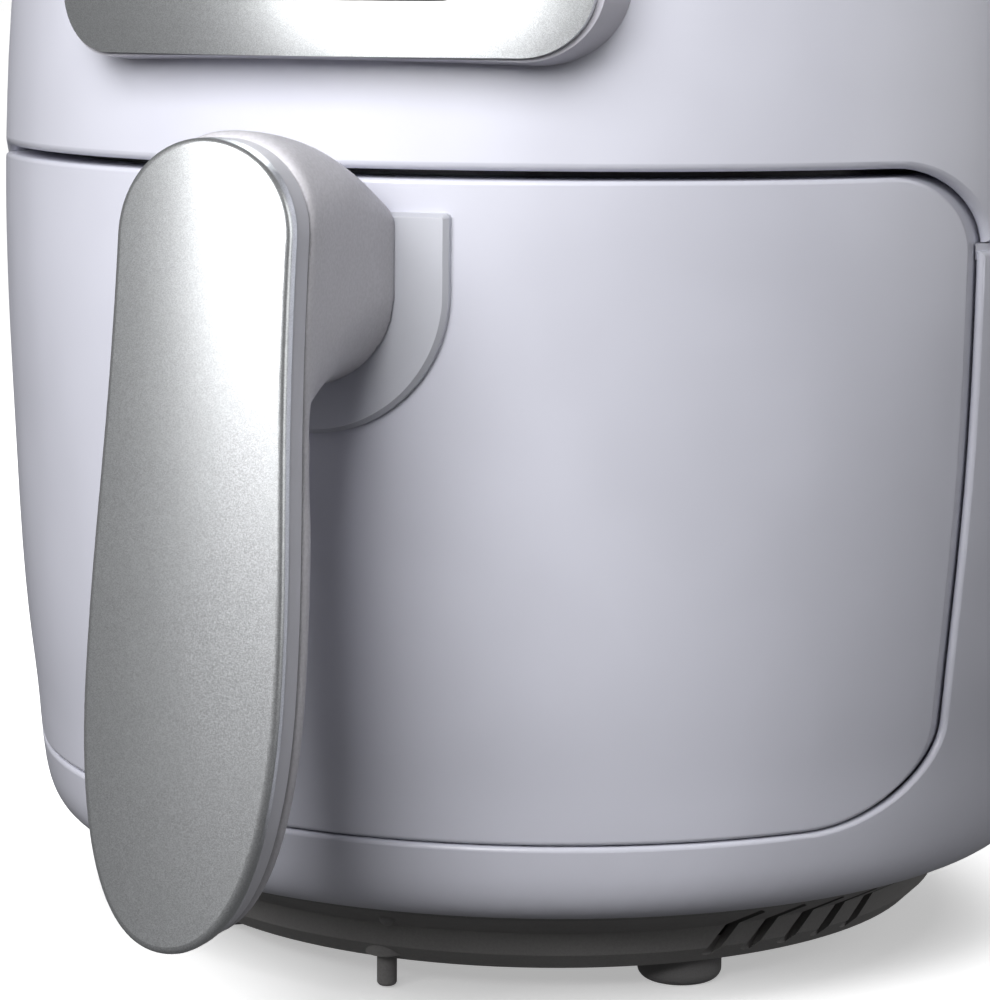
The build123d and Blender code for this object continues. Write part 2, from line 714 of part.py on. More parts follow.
def switch_plunger():
    tip = 98.7
    rod = front_rod(PLUNGER_R, 87.6 + PLUNGER_TRAVEL + 0.5, tip, 0, SWITCH_Z)
    return fillet(rod.edges().group_by(Axis.Y)[0], 0.5)


# ---------------------------------------------------------------- drawer
def drawer_front():
    rim = front_prism(drawer_outline(0), near=FLANGE_END)
    block = rim & (body_solid(0) - side_solid(FLANGE_DEPTH))
    pocket = front_prism(drawer_outline(-FLANGE_WALL)) & body_solid(WALL)
    front = block - pocket
    front = fillet(skin_edges(front, lambda middle: True), DRAWER_ROUND)
    for z in HANDLE_SCREW_Z:
        front -= front_rod(2.2, 100, 120, 0, z)
    return front


def drawer_inner_panel():
    outline = drawer_outline(-FLANGE_WALL - 0.15)
    prism = front_prism(outline, near=FLANGE_END)
    panel = prism & (side_solid(FLANGE_DEPTH - 2.0) - side_solid(FLANGE_DEPTH))
    panel += front_prism(outline, near=FLANGE_END, far=FLANGE_END + 2) - side_solid(FLANGE_DEPTH)
    for x in (-36, 0, 36):
        panel -= front_rod(1.7, 80, 112, x, 132)
    return panel


def pan():
    wall = in_plan(pan_plan(0), PAN_FLOOR, PAN_RIM)
    wall = fillet(wall.edges().group_by(Axis.Z)[0], 9)
    hollow = in_plan(pan_plan(-PAN_WALL), PAN_FLOOR + PAN_WALL, PAN_RIM + 5)
    hollow = fillet(hollow.edges().group_by(Axis.Z)[0], 8)
    rim = in_plan(pan_plan(RIM_WIDTH), PAN_RIM - RIM_WALL, PAN_RIM)
    body = wall + rim - hollow
    for x in (-24, 24):
        body -= front_rod(1.7, 76, 88, x, 126)
    return body


def pan_bracket():
    """Angle that hangs the pan from the drawer's inner panel."""
    upright = Pos(0, -PAN_FRONT - 1.25, 124.5) * Box(64, 2.4, 33)
    shelf = Pos(0, -PAN_FRONT - 12, 139.5) * Box(64, 24, 3)
    panel_side = Pos(0, -95, 129.5) * Box(80, 30, 23)
    panel_side &= side_solid(FLANGE_DEPTH + 0.05) - side_solid(FLANGE_DEPTH + 2.4)
    bracket = upright + (shelf & side_solid(FLANGE_DEPTH + 0.05)) + panel_side
    for x in (-30.8, 30.8):
        bracket += Pos(x, -90, 129.5) * Box(2.4, 18, 20) & side_solid(FLANGE_DEPTH + 1)
    for x in (-24, 24):
        bracket -= front_rod(1.7, 75, 88, x, 126)
    for x in (-36, 0, 36):
        bracket -= front_rod(1.7, 88, 105, x, 132)
    return bracket


def pan_bracket_screws():
    screws = []
    for x in (-24, 24):
        item = Rot(90, 0, 0) * screw(2.8, 1.2, 1.5, 5.5)
        screws.append(Pos(x, -PAN_FRONT + PAN_WALL + 0.05, 126) * item)
    return group(screws)


def panel_screws():
    screws = []
    for x in (-36, 0, 36):
        item = Rot(-90, 0, 0) * screw(3.0, 2.0, 1.5, 9)
        depth = sqrt((112.2 - FLANGE_DEPTH + 2.1) ** 2 - max(abs(x) - 3.0, 0) ** 2)
        screws.append(Pos(x, -depth - 0.2, 132) * item)
    return group(screws)


def escutcheon_plate():
    centre_z = PLATE_TOP - 14.0
    arc = ThreePointArc((-PLATE_R, centre_z), (0, centre_z - PLATE_R), (PLATE_R, centre_z))
    top = Polyline((PLATE_R, centre_z), (PLATE_R, PLATE_TOP), (-PLATE_R, PLATE_TOP), (-PLATE_R, centre_z))
    outline = make_face(arc + top)
    outline = fillet(outline.vertices().group_by(Axis.Y)[-1], 1.0)
    plate = front_prism(outline, near=60) & (side_solid(-PLATE_WALL) - side_solid(-0.05))
    for z in HANDLE_SCREW_Z:
        plate -= front_rod(2.2, 100, 120, 0, z)
    face = plate.faces().sort_by(Axis.Y)[0]
    return chamfer(face.outer_wire().edges(), 0.8)


def grip_outline(inset):
    """Outline of the grip in X and Z: round top, flared sides, blunt oval end."""
    top_half = GRIP_TOP_R - inset
    belly = GRIP_BELLY_HALF - inset
    low = GRIP_LOW_Z + inset
    full = 0.64
    top = ThreePointArc(
        (-top_half, GRIP_TOP_Z), (0, GRIP_TOP_Z + top_half), (top_half, GRIP_TOP_Z)
    )
    side = Bezier(
        (top_half, GRIP_TOP_Z), (top_half, GRIP_TOP_Z - 36),
        (belly, GRIP_BELLY_Z + 26), (belly, GRIP_BELLY_Z)
    )
    end = Bezier(
        (belly, GRIP_BELLY_Z), (belly, GRIP_BELLY_Z + full * (low - GRIP_BELLY_Z)),
        (full * belly, low), (0, low)
    )
    right = side + end
    return make_face(top + right + mirrored(right))


def lean_slab(front, back):
    """Space between two depths behind the grip's leaning face."""
    def face_y(z, depth):
        return -(GRIP_FACE + GRIP_LEAN * (GRIP_FACE_Z - z) - depth)
    corners = Polyline(
        (face_y(0, front), 0), (face_y(200, front), 200),
        (face_y(200, back), 200), (face_y(0, back), 0), close=True
    )
    return extrude(Plane.YZ * make_face(corners), amount=60, both=True)


def grip_layer(inset, front, back):
    prism = extrude(Plane.XZ.offset(100) * grip_outline(inset), amount=90)
    return prism & lean_slab(front, back)


def front_faces_edges(shape):
    return shape.faces().sort_by(Axis.Y)[0].edges()


def crown_cylinder():
    """Large leaning cylinder whose front is the crowned face of the grip."""
    lean = atan(GRIP_LEAN)
    out = Vector(0, -1, GRIP_LEAN).normalized()
    face = Vector(0, -GRIP_FACE, GRIP_FACE_Z)
    centre = face + out * (CROWN_RISE - CROWN_R)
    return Pos(*centre) * Rot(-degrees(lean), 0, 0) * Cylinder(CROWN_R, 400)


def handle_trim():
    """Crowned metal-look plate over the whole front of the grip."""
    plate = grip_layer(0, -5, TRIM_DEPTH) & crown_cylinder()
    return fillet(front_faces_edges(plate), TRIM_ROUND)


def handle_cover():
    cover = grip_layer(0.3, TRIM_DEPTH + 0.15, COVER_DEPTH)
    cover = chamfer(front_faces_edges(cover), 0.4)
    return cover - grip_layer(2.4, TRIM_DEPTH + 2.2, COVER_DEPTH + 1)


def neck_section(distance, half, top, bottom, corner):
    """Upright slice of the neck: flat top with round corners, straight sides, round bottom."""
    centre_z = bottom + half
    flat = half - corner + 0.05
    top_edge = Line((-flat, top), (flat, top))
    right_corner = Bezier(
        (flat, top), (half - corner * 0.448, top), (half, top - corner * 0.448), (half, top - corner)
    )
    right_side = Line((half, top - corner), (half, centre_z))
    bottom_arc = ThreePointArc((half, centre_z), (0, bottom), (-half, centre_z))
    outline = top_edge + right_corner + right_side + bottom_arc
    outline += mirrored(right_side) + mirrored(right_corner)
    return Plane.XZ.offset(distance) * make_face(outline)


def handle_body():
    neck = loft([neck_section(*row) for row in NECK_SECTIONS])
    back = grip_layer(0.2, COVER_DEPTH + 0.15, COVER_DEPTH + BACK_DEPTH)
    back = fillet(back.faces().sort_by(Axis.Y)[-1].edges(), 2.5)
    body = (neck - lean_slab(-60, COVER_DEPTH + 0.15)) + back
    body -= side_solid(-PLATE_WALL - 0.05)
    for z in HANDLE_SCREW_Z:
        body -= front_rod(2.05, 100, 136, 0, z)
    return body


def handle_screws():
    screws = []
    for z in HANDLE_SCREW_Z:
        item = Rot(90, 0, 0) * screw(3.8, 2.6, 2.0, 24)
        screws.append(Pos(0, -109.4, z) * item)
    return group(screws)


def crisper_plate():
    low = CRISPER_Z
    outline = pan_plan(-PAN_WALL - 1.6)
    inside = pan_plan(-PAN_WALL - 2.8)
    plate = in_plan(outline, low, low + 4.0) - in_plan(inside, low + 1.5, low + 6)
    holes = []
    pitch = 13.0
    for i in range(-6, 7):
        for j in range(-6, 7):
            x = i * pitch
            y = j * pitch
            reach = hypot(x, y) if y > 0 else max(abs(x), abs(y))
            centre = hypot(x, y) > 12
            corner = y > 0 or hypot(x, y) < 84
            if reach < 72 and centre and corner and not near_bumper(x, y):
                holes.append(post(3.0, low - 1, low + 3, x, y))
    plate -= holes
    for x, y in bumper_places():
        plate -= post(2.4, low - 1, low + 3, x, y)
    loop = Pos(0, 0, low + 1.0) * Rot(90, 0, 0) * Torus(11, 1.5)
    return plate + (loop & slab(low + 1.0, low + 20))


def bumper_places():
    return [(-62, 30), (62, 30), (-57, -53), (57, -53)]


def near_bumper(x, y):
    return any(hypot(x - bx, y - by) < 9 for bx, by in bumper_places())


def crisper_bumpers():
    bumpers = []
    for x, y in bumper_places():
        pad = post(5.0, PAN_FLOOR + PAN_WALL + 0.3, CRISPER_Z, x, y)
        pad = fillet(pad.edges().group_by(Axis.Z)[0], 1.5)
        stem = post(2.35, CRISPER_Z - 1, CRISPER_Z + 3.5, x, y)
        cap = post(3.4, CRISPER_Z + 1.5, CRISPER_Z + 3.5, x, y)
        bumpers.append(pad + stem + cap)
    return group(bumpers)


# ---------------------------------------------------------------- export
PIECES = [
    lower_housing, upper_housing, top_cover, base_pan, rubber_feet, front_rest_pin,
    cord_entry_bush, rear_air_grille, panel_frame, panel_fascia, display_window, control_board,
    control_board_screws, power_board, cavity_liner, guide_rails, heater_shroud, shroud_screws,
    heating_element, terminal_bushes, element_brackets, element_guard, temperature_probe,
    thermal_cutout, hot_air_fan, cooling_fan, fan_nut, motor_shaft, motor_rotor, motor_can,
    motor_bearings, motor_stator, motor_bracket, bracket_screws, drawer_switch, switch_plunger,
    drawer_front, drawer_inner_panel, pan, pan_bracket, pan_bracket_screws, panel_screws,
    escutcheon_plate, handle_trim, handle_cover, handle_body, handle_screws, crisper_plate,
    crisper_bumpers,
]


def main():
    os.makedirs("parts", exist_ok=True)
    for piece in PIECES:
        shape = Pos(0, AXIS_Y, 0) * piece()
        export_step(shape, f"parts/{piece.__name__}.step")


main()
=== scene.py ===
"""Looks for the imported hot-air fryer: materials, the blended handle shell, floor, light and camera.

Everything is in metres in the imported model's own frame: +Z up, handle towards -Y.
"""
import json
import math

import bpy
from mathutils import Matrix, Vector


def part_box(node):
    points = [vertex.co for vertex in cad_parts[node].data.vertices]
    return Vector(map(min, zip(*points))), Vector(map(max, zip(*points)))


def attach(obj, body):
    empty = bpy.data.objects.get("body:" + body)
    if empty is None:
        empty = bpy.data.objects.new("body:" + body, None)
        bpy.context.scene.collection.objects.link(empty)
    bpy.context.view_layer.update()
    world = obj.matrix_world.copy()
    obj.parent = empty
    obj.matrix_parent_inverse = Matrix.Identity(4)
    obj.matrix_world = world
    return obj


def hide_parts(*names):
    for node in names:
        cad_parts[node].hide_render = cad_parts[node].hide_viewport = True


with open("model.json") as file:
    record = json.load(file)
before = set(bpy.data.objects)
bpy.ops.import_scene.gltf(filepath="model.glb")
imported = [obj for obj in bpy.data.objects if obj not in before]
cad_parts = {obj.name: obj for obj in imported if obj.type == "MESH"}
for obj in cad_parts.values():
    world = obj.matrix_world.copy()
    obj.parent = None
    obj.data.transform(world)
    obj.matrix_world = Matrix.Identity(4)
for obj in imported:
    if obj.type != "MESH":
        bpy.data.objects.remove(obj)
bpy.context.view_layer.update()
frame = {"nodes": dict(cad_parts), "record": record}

MM = 0.001
NODES = frame["nodes"]
SLOT_OF = {part["node"]: part["material_slot"] for part in frame["record"]["subparts"]}
COVER_LOW, COVER_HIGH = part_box("top_cover")
AXIS = Vector((0.0, (COVER_LOW.y + COVER_HIGH.y) / 2, 0.0))    # the body's own vertical axis

CAMERA_PLACE = Vector((249.8, -618.2, 190.0)) * MM    # from the foot of the body's axis
CAMERA_YAW = math.radians(-22.92)
CAMERA_PITCH = math.radians(-9.01)
CAMERA_ROLL = math.radians(0.44)
CAMERA_LENS = 114.0

SHELL_VOXEL = 0.7 * MM
SHELL_POLISH = 3          # smoothing passes over the whole handle shell
GRIP_LEAN = 0.1256        # the grip leans out by this much for each metre down
ROOT_PLACE = Vector((0.0, -144.6, 113.0)) * MM    # where the neck's underside meets the shell
ROOT_REACH = 9.0 * MM
ROOT_SMOOTHING = 70       # smoothing passes near ROOT_PLACE alone

MARK_RISE = 0.05 * MM     # half the thickness of the printed marks
RING_RADIUS = 3.4 * MM
RING_WIDTH = 0.45 * MM
RING_STEPS = 40
RING_HEIGHT = 0.24        # height of the rings and the readout, as parts of the window's height
READOUT_HEIGHT = 0.66
STROKE_LENGTH = 2.6 * MM
STROKE_WIDTH = 0.5 * MM
DIGIT_SIZE = 10 * MM
DIGIT_STEP = 9 * MM

PEEL_DEPTH = 0.012 * MM   # orange peel of moulded plastic
MIX_COLOURS = (6, 7)      # the Mix node's two colour inputs, by place
MIX_RESULT = 2

FLOOR_REACH = 30.0
PAINTED_SHADOW_AND_FLOOR_GLOW = (0.40, 1.0)              # glow under the object, dimmed there as a painted shadow, and away from it
PAINTED_SHADOW_FADE = (0.085, 0.145)     # distances from the axis between which it rises out of the painted shadow
ROOM_STRENGTH = 0.08
AIM_HEIGHT = 0.13         # the lights point at this height on the body's axis


# ---------------------------------------------------------------- material building
class Look:
    """One procedural material: a Principled shader, and short ways to feed its sockets."""

    def __init__(self, name, **settings):
        self.material = bpy.data.materials.new(name)
        self.material.use_nodes = True
        self.tree = self.material.node_tree
        self.shader = self.tree.nodes["Principled BSDF"]
        for socket, value in settings.items():
            self.shader.inputs[socket.replace("_", " ")].default_value = value
        self.place = self.add("TexCoord", {}).outputs["Object"]

    def add(self, kind, inputs, **properties):
        node = self.tree.nodes.new("ShaderNode" + kind)
        for name, value in properties.items():
            setattr(node, name, value)
        for socket, value in inputs.items():
            if isinstance(value, bpy.types.NodeSocket):
                self.tree.links.new(value, node.inputs[socket])
            else:
                node.inputs[socket].default_value = value
        return node

    def stretched(self, stretch):
        return self.add("Mapping", {"Vector": self.place, "Scale": stretch}).outputs[0]

    def noise(self, size, detail=3.0, place=None):
        """Smooth noise with lumps of about the given size."""
        inputs = {"Vector": place or self.place, "Scale": 1 / size, "Detail": detail}
        return self.add("TexNoise", inputs).outputs[0]

    def grains(self, size):
        """One random value for each cell of about the given size."""
        cells = self.add("TexVoronoi", {"Vector": self.place, "Scale": 1 / size})
        return self.add("SeparateColor", {"Color": cells.outputs["Color"]}).outputs[0]

    def spread(self, value, low, high, start=0.35, end=0.65):
        """The value's range from start to end, spread over low to high."""
        inputs = {"Value": value, "From Min": start, "From Max": end, "To Min": low, "To Max": high}
        return self.add("MapRange", inputs).outputs[0]

    def product(self, first, second):
        return self.add("Math", {0: first, 1: second}, operation="MULTIPLY").outputs[0]

    def blend(self, factor, first, second):
        """A colour between two colours."""
        mix = self.add("Mix", {"Factor": factor}, data_type="RGBA")
        for socket, value in zip(MIX_COLOURS, (first, second)):
            if isinstance(value, bpy.types.NodeSocket):
                self.tree.links.new(value, mix.inputs[socket])
            else:
                mix.inputs[socket].default_value = (*value, 1.0)
        return mix.outputs[MIX_RESULT]

    def edges(self, radius):
        """1 along sharp edges and 0 on the flat skin beside them."""
        soft = self.add("Bevel", {"Radius": radius}, samples=4).outputs[0]
        flat = self.add("NewGeometry", {}).outputs["Normal"]
        same = self.add("VectorMath", {0: soft, 1: flat}, operation="DOT_PRODUCT")
        return self.spread(same.outputs["Value"], 0.0, 1.0, 0.99, 0.85)

    def bump(self, height, depth):
        return self.add("Bump", {"Height": height, "Distance": depth, "Strength": 1.0}).outputs[0]

    def feed(self, socket, value):
        self.tree.links.new(value, self.shader.inputs[socket])


def shade(colour, factor):
    return tuple(channel * factor for channel in colour)


def moulded(name, colour, rough, variation=0.03, wear=0.04, **settings):
    """Moulded plastic: cloudy pigment, uneven gloss, faint orange peel, edges painted paler: a painted
    highlight along them, with some edge wear.
    """
    look = Look(name, **settings)
    cloud = look.spread(look.noise(38 * MM, 2.0), 0.0, 1.0)
    colour_map = look.blend(cloud, shade(colour, 1 - variation), shade(colour, 1 + variation))
    # paler sharp edges: a painted highlight along the edges, partly edge wear; wear sets its strength
    pale_edge_highlight_and_wear = look.product(look.edges(0.5 * MM), look.spread(look.noise(5 * MM), 0.0, wear))
    look.feed("Base Color", look.blend(pale_edge_highlight_and_wear, colour_map, (1.0, 1.0, 1.0)))
    smear = look.noise(16 * MM, 4.0, look.stretched((1.0, 1.0, 0.35)))
    look.feed("Roughness", look.spread(smear, rough * 0.9, rough * 1.12))
    look.feed("Normal", look.bump(look.noise(2.4 * MM, 2.0), PEEL_DEPTH))
    return look


def textured(name, colour, rough, grain, depth, **settings):
    """Spark-eroded plastic: matt, with a fine even grain."""
    look = Look(name, **settings)
    cloud = look.spread(look.noise(30 * MM, 3.0), 0.0, 1.0)
    speckle = look.spread(look.noise(grain, 2.0), 0.0, 0.35)
    colour_map = look.blend(cloud, shade(colour, 0.93), shade(colour, 1.07))
    look.feed("Base Color", look.blend(speckle, colour_map, shade(colour, 0.72)))
    look.feed("Roughness", look.spread(look.noise(9 * MM), rough - 0.05, rough + 0.06))
    look.feed("Normal", look.bump(look.noise(grain, 2.0), depth))
    return look


def flaked(name, colour, rough):
    """Metallic paint: tiny flakes that each catch the light a little differently."""
    look = Look(name, Metallic=0.92)
    flake = look.grains(0.13 * MM)
    shimmer = look.blend(flake, shade(colour, 0.86), shade(colour, 1.14))
    patch = look.spread(look.noise(9 * MM), 0.0, 0.08)
    look.feed("Base Color", look.blend(patch, shimmer, shade(colour, 0.85)))
    look.feed("Roughness", look.spread(flake, rough * 0.9, rough * 1.1, 0.0, 1.0))
    look.feed("Normal", look.bump(look.noise(0.22 * MM, 1.0), 0.004 * MM))
    return look


def metal(name, colour, rough, stretch=(1.0, 1.0, 1.0), grain=0.5 * MM, stain=0.12):
    """Bare or plated metal with a rolled grain and uneven tarnish."""
    look = Look(name, Metallic=1.0)
    drawn = look.noise(grain, 2.0, look.stretched(stretch))
    tarnish = look.spread(look.noise(8 * MM, 4.0), 0.0, stain)
    look.feed("Base Color", look.blend(tarnish, colour, shade(colour, 0.55)))
    look.feed("Roughness", look.spread(drawn, rough * 0.75, rough * 1.3))
    look.feed("Normal", look.bump(drawn, 0.008 * MM))
    return look


# ---------------------------------------------------------------- the record's slots
def white_plastic():
    return moulded("white_plastic", (0.66, 0.665, 0.745), 0.36, Coat_Weight=0.25, Coat_Roughness=0.22)


def drawer_plastic():
    return moulded("drawer_plastic", (0.64, 0.645, 0.725), 0.36, Coat_Weight=0.25, Coat_Roughness=0.22)


def dark_base_plastic():
    return textured("dark_base_plastic", (0.27, 0.262, 0.258), 0.5, 0.5 * MM, 0.02 * MM)


def rubber():
    return textured("rubber", (0.20, 0.195, 0.195), 0.65, 0.35 * MM, 0.02 * MM)


def panel_side_plastic():
    # wear here paints a strong pale line along the edges, mostly a painted highlight
    return moulded("panel_side_plastic", (0.56, 0.55, 0.61), 0.34, wear=0.25)


def silver_paint():
    return flaked("silver_paint", (0.80, 0.82, 0.835), 0.33)


def black_gloss():
    look = Look("black_gloss", Coat_Weight=0.6, Coat_Roughness=0.04)
    dust = look.spread(look.noise(0.6 * MM, 2.0), 0.0, 0.5, 0.62, 0.75)
    look.feed("Base Color", look.blend(dust, (0.009, 0.009, 0.010), (0.05, 0.05, 0.05)))
    look.feed("Roughness", look.spread(look.noise(12 * MM, 4.0), 0.05, 0.14))
    return look


def circuit_board():
    look = Look("circuit_board", Coat_Weight=0.3, Coat_Roughness=0.3)
    tracks = look.add("TexBrick", {"Vector": look.place, "Scale": 190.0, "Mortar Size": 0.03})
    look.feed("Base Color", look.blend(tracks.outputs["Fac"], (0.02, 0.13, 0.05), (0.10, 0.30, 0.12)))
    look.feed("Roughness", look.spread(look.noise(3 * MM), 0.35, 0.6))
    look.feed("Normal", look.bump(tracks.outputs["Fac"], 0.03 * MM))
    return look


def zinc_steel():
    return metal("zinc_steel", (0.62, 0.62, 0.58), 0.34)


def liner_metal():
    return textured("liner_metal", (0.11, 0.11, 0.112), 0.42, 0.7 * MM, 0.012 * MM, Metallic=0.4)


def shroud_metal():
    return metal("shroud_metal", (0.66, 0.66, 0.645), 0.30, (1.0, 1.0, 0.08))


def element_sheath():
    return metal("element_sheath", (0.17, 0.16, 0.15), 0.52, stain=0.5)


def ceramic():
    return textured("ceramic", (0.78, 0.76, 0.70), 0.6, 0.4 * MM, 0.02 * MM)


def guard_wire():
    return metal("guard_wire", (0.72, 0.72, 0.71), 0.20)


def fan_metal():
    return metal("fan_metal", (0.74, 0.74, 0.75), 0.32, stain=0.2)


def fan_plastic():
    return textured("fan_plastic", (0.045, 0.045, 0.046), 0.5, 0.5 * MM, 0.015 * MM)


def motor_core():
    return metal("motor_core", (0.32, 0.32, 0.33), 0.42, (1.0, 1.0, 12.0), 0.8 * MM)


def motor_steel():
    look = Look("motor_steel", Metallic=1.0)
    spangle = look.grains(4 * MM)
    look.feed("Base Color", look.blend(spangle, (0.50, 0.50, 0.50), (0.66, 0.67, 0.67)))
    look.feed("Roughness", look.spread(spangle, 0.28, 0.48, 0.0, 1.0))
    look.feed("Normal", look.bump(look.noise(1 * MM), 0.006 * MM))
    return look


def bronze():
    return metal("bronze", (0.55, 0.36, 0.17), 0.45, stain=0.3)


def switch_plastic():
    return textured("switch_plastic", (0.035, 0.035, 0.037), 0.5, 0.4 * MM, 0.012 * MM)


def plunger_plastic():
    return moulded("plunger_plastic", (0.50, 0.05, 0.04), 0.35)


def nonstick():
    look = Look("nonstick", Coat_Weight=0.15, Coat_Roughness=0.35)
    fleck = look.spread(look.grains(0.9 * MM), 0.0, 0.5, 0.93, 1.0)
    look.feed("Base Color", look.blend(fleck, (0.028, 0.028, 0.030), (0.20, 0.20, 0.21)))
    look.feed("Roughness", look.spread(look.noise(6 * MM, 4.0), 0.34, 0.52))
    look.feed("Normal", look.bump(look.noise(0.8 * MM, 2.0), 0.02 * MM))
    return look


def satin_silver():
    # wear here paints a strong pale line along the edges, mostly a painted highlight
    return moulded("satin_silver", (0.60, 0.61, 0.665), 0.38, variation=0.02, wear=0.3, Metallic=0.25)


def handle_side_plastic():
    # wear here paints a strong pale line along the edges, mostly a painted highlight
    return moulded("handle_side_plastic", (0.60, 0.60, 0.645), 0.40, variation=0.02, wear=0.3)


def handle_grey_plastic():
    return textured("handle_grey_plastic", (0.56, 0.55, 0.585), 0.46, 0.6 * MM, 0.006 * MM)


def silicone():
    return moulded("silicone", (0.035, 0.035, 0.038), 0.45)


SLOT_LOOKS = [
    white_plastic, drawer_plastic, dark_base_plastic, rubber, panel_side_plastic, silver_paint,
    black_gloss, circuit_board, zinc_steel, liner_metal, shroud_metal, element_sheath, ceramic,
    guard_wire, fan_metal, fan_plastic, motor_core, motor_steel, bronze, switch_plastic,
    plunger_plastic, nonstick, satin_silver, handle_side_plastic, handle_grey_plastic, silicone,
]


def dress(piece, material):
    """Makes the material the piece's only one."""
    piece.data.materials.clear()
    piece.data.materials.append(material)


def dress_nodes(materials):
    """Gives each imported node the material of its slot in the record."""
    for name, node in NODES.items():
        for slot in node.material_slots:
            slot.material = materials[SLOT_OF[name]]


# ---------------------------------------------------------------- the handle's back shell
def apply_modifiers(piece):
    """Replaces a piece's mesh with the result of its modifiers."""
    graph = bpy.context.evaluated_depsgraph_get()
    mesh = bpy.data.meshes.new_from_object(piece.evaluated_get(graph))
    piece.modifiers.clear()
    piece.data = mesh


def root_weight(point):
    """1 where the neck grows out of the back shell, fading to 0 away from it."""
    back = ROOT_PLACE.y + GRIP_LEAN * (point.z - ROOT_PLACE.z)
    near_plane = max(0.0, 1 - abs(point.y - AXIS.y - back) / ROOT_REACH)
    above = min(1.0, max(0.0, (point.z - ROOT_PLACE.z) / ROOT_REACH + 1.2))
    return near_plane * above


def build_shell():
    """One smooth skin for the neck and the back of the grip, filleted where they meet."""
    shell = bpy.data.objects.new("handle_shell", NODES["handle_body"].data.copy())
    bpy.context.scene.collection.objects.link(shell)
    remesh = shell.modifiers.new("remesh", "REMESH")
    remesh.mode = "VOXEL"
    remesh.voxel_size = SHELL_VOXEL
    apply_modifiers(shell)
    root = shell.vertex_groups.new(name="root")
    for vertex in shell.data.vertices:
        root.add([vertex.index], root_weight(vertex.co), "REPLACE")
    fillet = shell.modifiers.new("fillet", "SMOOTH")
    fillet.vertex_group = "root"
    fillet.factor = 0.5
    fillet.iterations = ROOT_SMOOTHING
    polish = shell.modifiers.new("polish", "SMOOTH")
    polish.factor = 0.5
    polish.iterations = SHELL_POLISH
    apply_modifiers(shell)
    shell.data.polygons.foreach_set("use_smooth", [True] * len(shell.data.polygons))
    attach(shell, "drawer")
    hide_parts("handle_body")
    return shell


# ---------------------------------------------------------------- marks on the touch window
def ring_quads(x, z):
    """Flat ring in X and Z, as four-sided pieces."""
    inner = RING_RADIUS - RING_WIDTH
    quads = []
    for i in range(RING_STEPS):
        corners = []
        for reach, turn in ((RING_RADIUS, i), (RING_RADIUS, i + 1), (inner, i + 1), (inner, i)):
            angle = 2 * math.pi * turn / RING_STEPS
            corners.append((x + reach * math.cos(angle), z + reach * math.sin(angle)))
        quads.append(corners)
    return quads


def bar_quad(x, z, length, width, upright):
    """Straight stroke in X and Z, upright or level."""
    across, along = (width / 2, length / 2) if upright else (length / 2, width / 2)
    low = z - along
    high = z + along
    return [(x - across, low), (x + across, low), (x + across, high), (x - across, high)]


def digit_quads(x, z):
    """The seven strokes of a plain digital readout's figure eight."""
    stroke = 0.17 * DIGIT_SIZE
    length = 0.42 * DIGIT_SIZE
    half = 0.25 * DIGIT_SIZE
    quads = [bar_quad(x, z + level * 2 * half, length, stroke, False) for level in (-1, 0, 1)]
    for side in (-1, 1):
        for level in (-1, 1):
            quads.append(bar_quad(x + side * half, z + level * half, length, stroke, True))
    return quads


def build_mark(name, quads, material):
    """Thin printed mark that follows the window's curved face."""
    window = NODES["display_window"]
    points = []
    faces = []
    for quad in quads:
        start = len(points)
        for depth in (-MARK_RISE, MARK_RISE):
            for x, z in quad:
                origin = Vector((x, AXIS.y - 0.2, z))
                place = window.ray_cast(origin, Vector((0, 1, 0)))[1]
                points.append(place + Vector((0, depth, 0)))
        front = [start, start + 1, start + 2, start + 3]
        faces.append(front)
        faces.append([i + 4 for i in reversed(front)])
        for i in range(4):
            after = (i + 1) % 4
            faces.append([front[after], front[i], front[i] + 4, front[after] + 4])
    mesh = bpy.data.meshes.new(name)
    mesh.from_pydata(points, [], faces)
    mark = bpy.data.objects.new(name, mesh)
    bpy.context.scene.collection.objects.link(mark)
    dress(mark, material)
    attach(mark, "housing")


def build_marks():
    """Four touch rings with a stroke in each, and a three-figure readout above them."""
    low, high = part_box("display_window")
    width = high.x - low.x
    height = high.z - low.z
    pale = pale_print()
    for i in range(4):
        x = low.x + width * (i + 0.5) / 4
        z = low.z + RING_HEIGHT * height
        stroke = bar_quad(x, z, STROKE_LENGTH, STROKE_WIDTH, i % 2 == 0)
        build_mark(f"touch_ring_{i}", ring_quads(x, z), pale)
        build_mark(f"touch_stroke_{i}", [stroke], pale)
    readout_z = low.z + READOUT_HEIGHT * height
    for i in (-1, 0, 1):
        build_mark(f"readout_{i + 1}", digit_quads(i * DIGIT_STEP, readout_z), pale)


def pale_print():
    """Worn pale ink of the marks."""
    look = Look("pale_print", Coat_Weight=0.3)
    wear = look.spread(look.noise(1.2 * MM, 3.0), 0.0, 0.3)
    look.feed("Base Color", look.blend(wear, (0.42, 0.44, 0.46), (0.25, 0.26, 0.27)))
    look.feed("Roughness", look.spread(look.noise(3 * MM), 0.3, 0.45))
    return look.material


# ---------------------------------------------------------------- stage
def floor_material():
    """Pale floor whose glow dims under the object, a painted shadow there, and rises to plain white
    away from it.
    """
    look = Look("pale_floor_painted_shadow", Roughness=0.6)
    look.shader.inputs["Emission Color"].default_value = (1.0, 1.0, 1.0, 1.0)
    offset = look.add("VectorMath", {0: look.place, 1: AXIS}, operation="SUBTRACT").outputs[0]
    distance = look.add("VectorMath", {0: offset}, operation="LENGTH").outputs["Value"]
    # the glow dims near the axis: a painted shadow under the object
    look.feed("Emission Strength", look.spread(distance, *PAINTED_SHADOW_AND_FLOOR_GLOW, *PAINTED_SHADOW_FADE))
    mottle = look.spread(look.noise(60 * MM), 0.0, 1.0)
    look.feed("Base Color", look.blend(mottle, (0.86, 0.86, 0.86), (0.89, 0.89, 0.89)))
    return look.material


